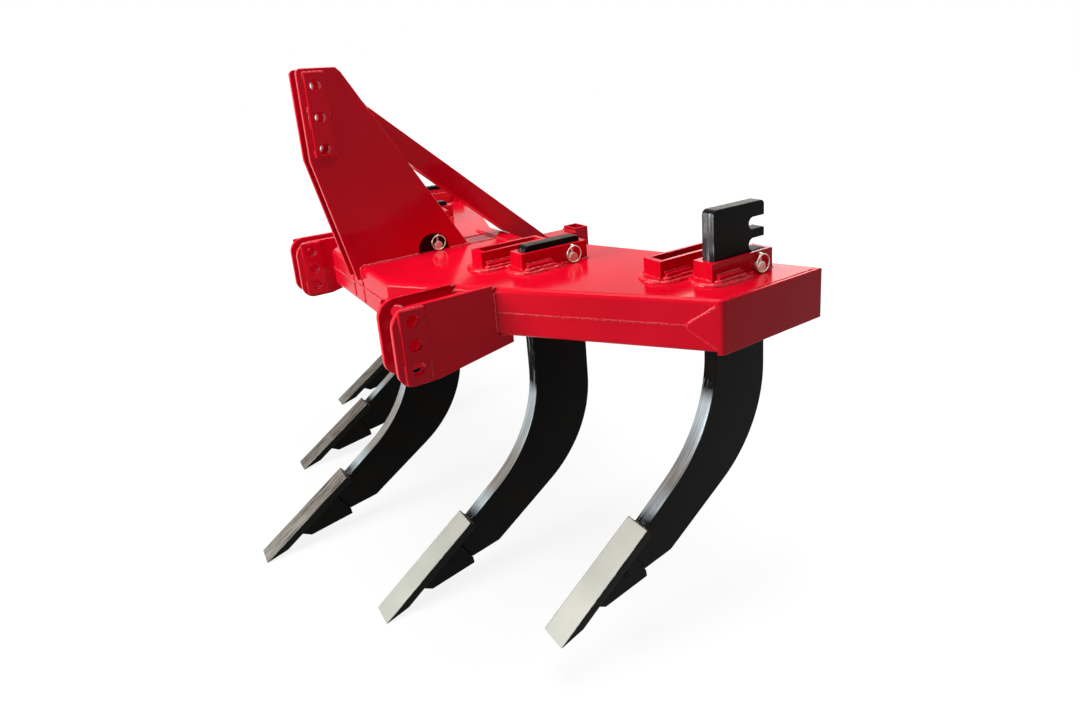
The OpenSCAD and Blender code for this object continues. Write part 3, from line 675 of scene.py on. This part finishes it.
def pocket_welds(side_name):
    """Rough beads round the pads, bars and side plates of one wing's pockets."""
    beads = []
    for lo, hi in solid_boxes(f"pocket_pads_{side_name}"):
        x = (lo.x + hi.x) / 2
        y = lo.y + PAD_REACH
        reach = POCKET_HALF + PAD_REACH
        turns = np.linspace(0.0, math.pi, 15)
        front = [(x + reach * math.cos(a), y + POCKET_HALF - reach * math.sin(a), TOP_Z) for a in turns]
        beads.append(([(x + reach, hi.y, TOP_Z), *front, (x - reach, hi.y, TOP_Z)], 0.0072, 0.14))
        for s in SIDES:
            edge = x + s * POCKET_HALF
            bar = x + s * BAR_HALF
            bar_end = y + BAR_START + BAR_LENGTH
            pad_z = TOP_Z + PAD_THICK
            beads.append(([(x + s * reach, hi.y, TOP_Z), (edge, hi.y, TOP_Z)], 0.0050, 0.16))
            beads.append(([(edge, y + BAR_START - 0.004, pad_z), (bar, y + BAR_START, pad_z),
                           (bar, bar_end, pad_z), (edge, bar_end + 0.004, pad_z)], 0.0054, 0.16))
            beads.append(([(edge, y + BAR_START, pad_z + BAR_THICK),
                           (edge, bar_end, pad_z + BAR_THICK)], 0.0034, 0.16))
            beads.append(([(edge, hi.y + 0.004, TOP_Z), (edge, hi.y + 0.050, TOP_Z)], 0.0046, 0.34))
            beads.append(([(edge, y + POCKET_LENGTH - 0.020, TOP_Z), (edge, y + POCKET_LENGTH, TOP_Z),
                           (x, y + POCKET_LENGTH, TOP_Z)], 0.0044, 0.3))
        beads.append(([(x - POCKET_HALF, y, pad_z), (x + POCKET_HALF, y, pad_z)], 0.0036, 0.2))
        beads.append((pocket_ring(x, y), 0.0044, 0.25))
    return beads


def pocket_ring(x, y):
    """Path round a pocket's lower end, on the frame's underside."""
    far_y = y + POCKET_LENGTH
    return loop([(x - POCKET_HALF, y, LOW_Z), (x + POCKET_HALF, y, LOW_Z),
                 (x + POCKET_HALF, far_y, LOW_Z), (x - POCKET_HALF, far_y, LOW_Z)])


def point_tops():
    """For each shank, the corner of its nose that touches the point, as y and z, and the shank's x."""
    found = []
    for i in range(1, 6):
        shank = np.array([v.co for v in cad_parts[f"shank_{i}"].data.vertices])
        point = np.array([v.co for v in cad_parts[f"point_{i}"].data.vertices])
        top = point[point[:, 2].argmax()]
        near = shank[np.hypot(shank[:, 1] - top[1], shank[:, 2] - top[2]).argmin()]
        found.append((shank[:, 0].mean(), near[1], near[2]))
    return found


def point_welds():
    """A short bead across each shank's nose, turning a little way down both sides of it."""
    along = (math.cos(POINT_ANGLE), math.sin(POINT_ANGLE))
    beads = []
    for x, y, z in point_tops():
        half = SHANK_HALF + 0.0005
        down = [(x + half, y - 0.052 * along[0], z - 0.052 * along[1] - 0.009)]
        path = [(x + half, y + 0.006, z - 0.010), (x + half, y, z), (x - half, y, z), (x - half, y + 0.006, z - 0.010)]
        beads.append((path, 0.0030, 0.2))
    return beads


def shoe_rings():
    """The open end of a spring pin on both sides of each shoe."""
    beads = []
    turns = np.linspace(0.0, 2 * math.pi, 25)
    for lo, hi in solid_boxes("point_shoes"):
        y = lo.y + 0.60 * (hi.y - lo.y)
        z = lo.z + 0.52 * (hi.z - lo.z)
        for x in (lo.x, hi.x):
            ring = [(x, y + 0.0065 * math.cos(a), z + 0.0065 * math.sin(a)) for a in turns]
            beads.append((ring, 0.0012, 0.0))
    return beads


weld("welds_frame", frame_welds())
weld("welds_hitch", hitch_welds())
weld("welds_mast", mast_welds())
weld("welds_rear", rear_welds())
weld("welds_pockets_left", pocket_welds("left"))
weld("welds_pockets_right", pocket_welds("right"))
middle_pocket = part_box("pocket_cheeks_middle")
weld("welds_pocket_middle", [(pocket_ring(0.0, middle_pocket[0].y), 0.0044, 0.25)])
weld("welds_points", point_welds(), BARE_WELD)
weld("shoe_pins", shoe_rings(), BLACK)


# Studio
WHITE = (1.0, 1.0, 1.0, 1.0)


def seen_rays(tree):
    """1 for camera, glossy and transmission rays."""
    path = add(tree, "ShaderNodeLightPath").outputs
    glass = math_node(tree, "MAXIMUM", path["Is Glossy Ray"], path["Is Transmission Ray"])
    return math_node(tree, "MAXIMUM", path["Is Camera Ray"], glass)


def make_world(ambient):
    world = bpy.data.worlds.new("studio")
    scene.world = world
    world.use_nodes = True
    tree = world.node_tree
    tree.nodes.clear()
    light = add(tree, "ShaderNodeBackground", {"Color": WHITE, "Strength": ambient}).outputs[0]
    seen = add(tree, "ShaderNodeBackground", {"Color": WHITE, "Strength": 1.0}).outputs[0]
    mixed = add(tree, "ShaderNodeMixShader", {0: seen_rays(tree), 1: light, 2: seen}).outputs[0]
    add(tree, "ShaderNodeOutputWorld", {"Surface": mixed})


def make_floor(z, half):
    """A pale floor that fades to white away from the object and keeps its shadow."""
    mesh = bpy.data.meshes.new("floor")
    mesh.from_pydata([(-half, -half, z), (half, -half, z), (half, half, z), (-half, half, z)], [], [(0, 1, 2, 3)])
    floor = bpy.data.objects.new("floor", mesh)
    scene.collection.objects.link(floor)
    material = bpy.data.materials.new("floor")
    material.use_nodes = True
    tree = material.node_tree
    tree.nodes.clear()
    place = add(tree, "ShaderNodeTexCoord").outputs["Object"]
    away = add(tree, "ShaderNodeVectorMath", {0: place}, operation="LENGTH").outputs["Value"]
    share = ramp(tree, away, 0.9, 2.3, 0.78, 1.0)
    factor = math_node(tree, "MULTIPLY", share, seen_rays(tree))
    matt = add(tree, "ShaderNodeBsdfDiffuse", {"Color": (0.50, 0.50, 0.50, 1.0)}).outputs[0]
    glow = add(tree, "ShaderNodeEmission", {"Color": WHITE, "Strength": 1.12}).outputs[0]
    mixed = add(tree, "ShaderNodeMixShader", {0: factor, 1: matt, 2: glow}).outputs[0]
    add(tree, "ShaderNodeOutputMaterial", {"Surface": mixed})
    mesh.materials.append(material)


def make_lamp(name, place, target, size, power):
    """A square soft lamp that looks at a point."""
    light = bpy.data.lights.new(name, "AREA")
    light.shape = "SQUARE"
    light.size = size
    light.energy = power
    lamp = bpy.data.objects.new(name, light)
    scene.collection.objects.link(lamp)
    aim = Vector(target) - Vector(place)
    lamp.matrix_world = Matrix.Translation(place) @ aim.to_track_quat("-Z", "Y").to_matrix().to_4x4()


PHOTO_WIDTH, PHOTO_HEIGHT = 1080, 722
SENSOR = 36.0


def make_camera(place, yaw, pitch, roll, focal, centre):
    """The photograph's camera. focal and centre are in the photograph's pixels."""
    ahead = Vector((-math.cos(yaw) * math.cos(pitch), math.sin(yaw) * math.cos(pitch), -math.sin(pitch)))
    right = ahead.cross(Vector((0.0, 0.0, 1.0))).normalized()
    up = right.cross(ahead)
    x_axis = math.cos(roll) * right + math.sin(roll) * up
    y_axis = math.cos(roll) * up - math.sin(roll) * right
    data = bpy.data.cameras.new("camera")
    data.sensor_width = SENSOR
    data.lens = focal / PHOTO_WIDTH * SENSOR
    data.shift_x = (PHOTO_WIDTH / 2 - centre[0]) / PHOTO_WIDTH
    data.shift_y = (centre[1] - PHOTO_HEIGHT / 2) / PHOTO_WIDTH
    data.clip_start = 0.05
    camera = bpy.data.objects.new("camera", data)
    scene.collection.objects.link(camera)
    turn = Matrix((x_axis, y_axis, -ahead)).transposed().to_4x4()
    camera.matrix_world = Matrix.Translation(place) @ turn
    scene.camera = camera


scene.view_settings.view_transform = "Standard"
make_world(0.08)
make_floor(cad_box[0].z - 0.001, 30.0)
make_lamp("top light", (0.1, 0.3, 3.0), (0.0, 0.3, 0.1), 2.2, 104.0)
make_lamp("front light", (0.0, -3.3, 1.3), (0.2, 0.2, 0.0), 1.3, 152.0)
make_lamp("side light", (2.6, 1.2, 0.9), (0.6, 0.5, 0.0), 1.4, 1.5)
make_lamp("rear light", (-1.2, 3.2, 1.2), (0.0, 0.5, 0.0), 1.6, 25.0)
make_camera(place=(1.7621, -0.4332, 0.5731), yaw=0.5808, pitch=0.2494, roll=-0.0724,
            focal=651.5, centre=(566.8, 249.0))
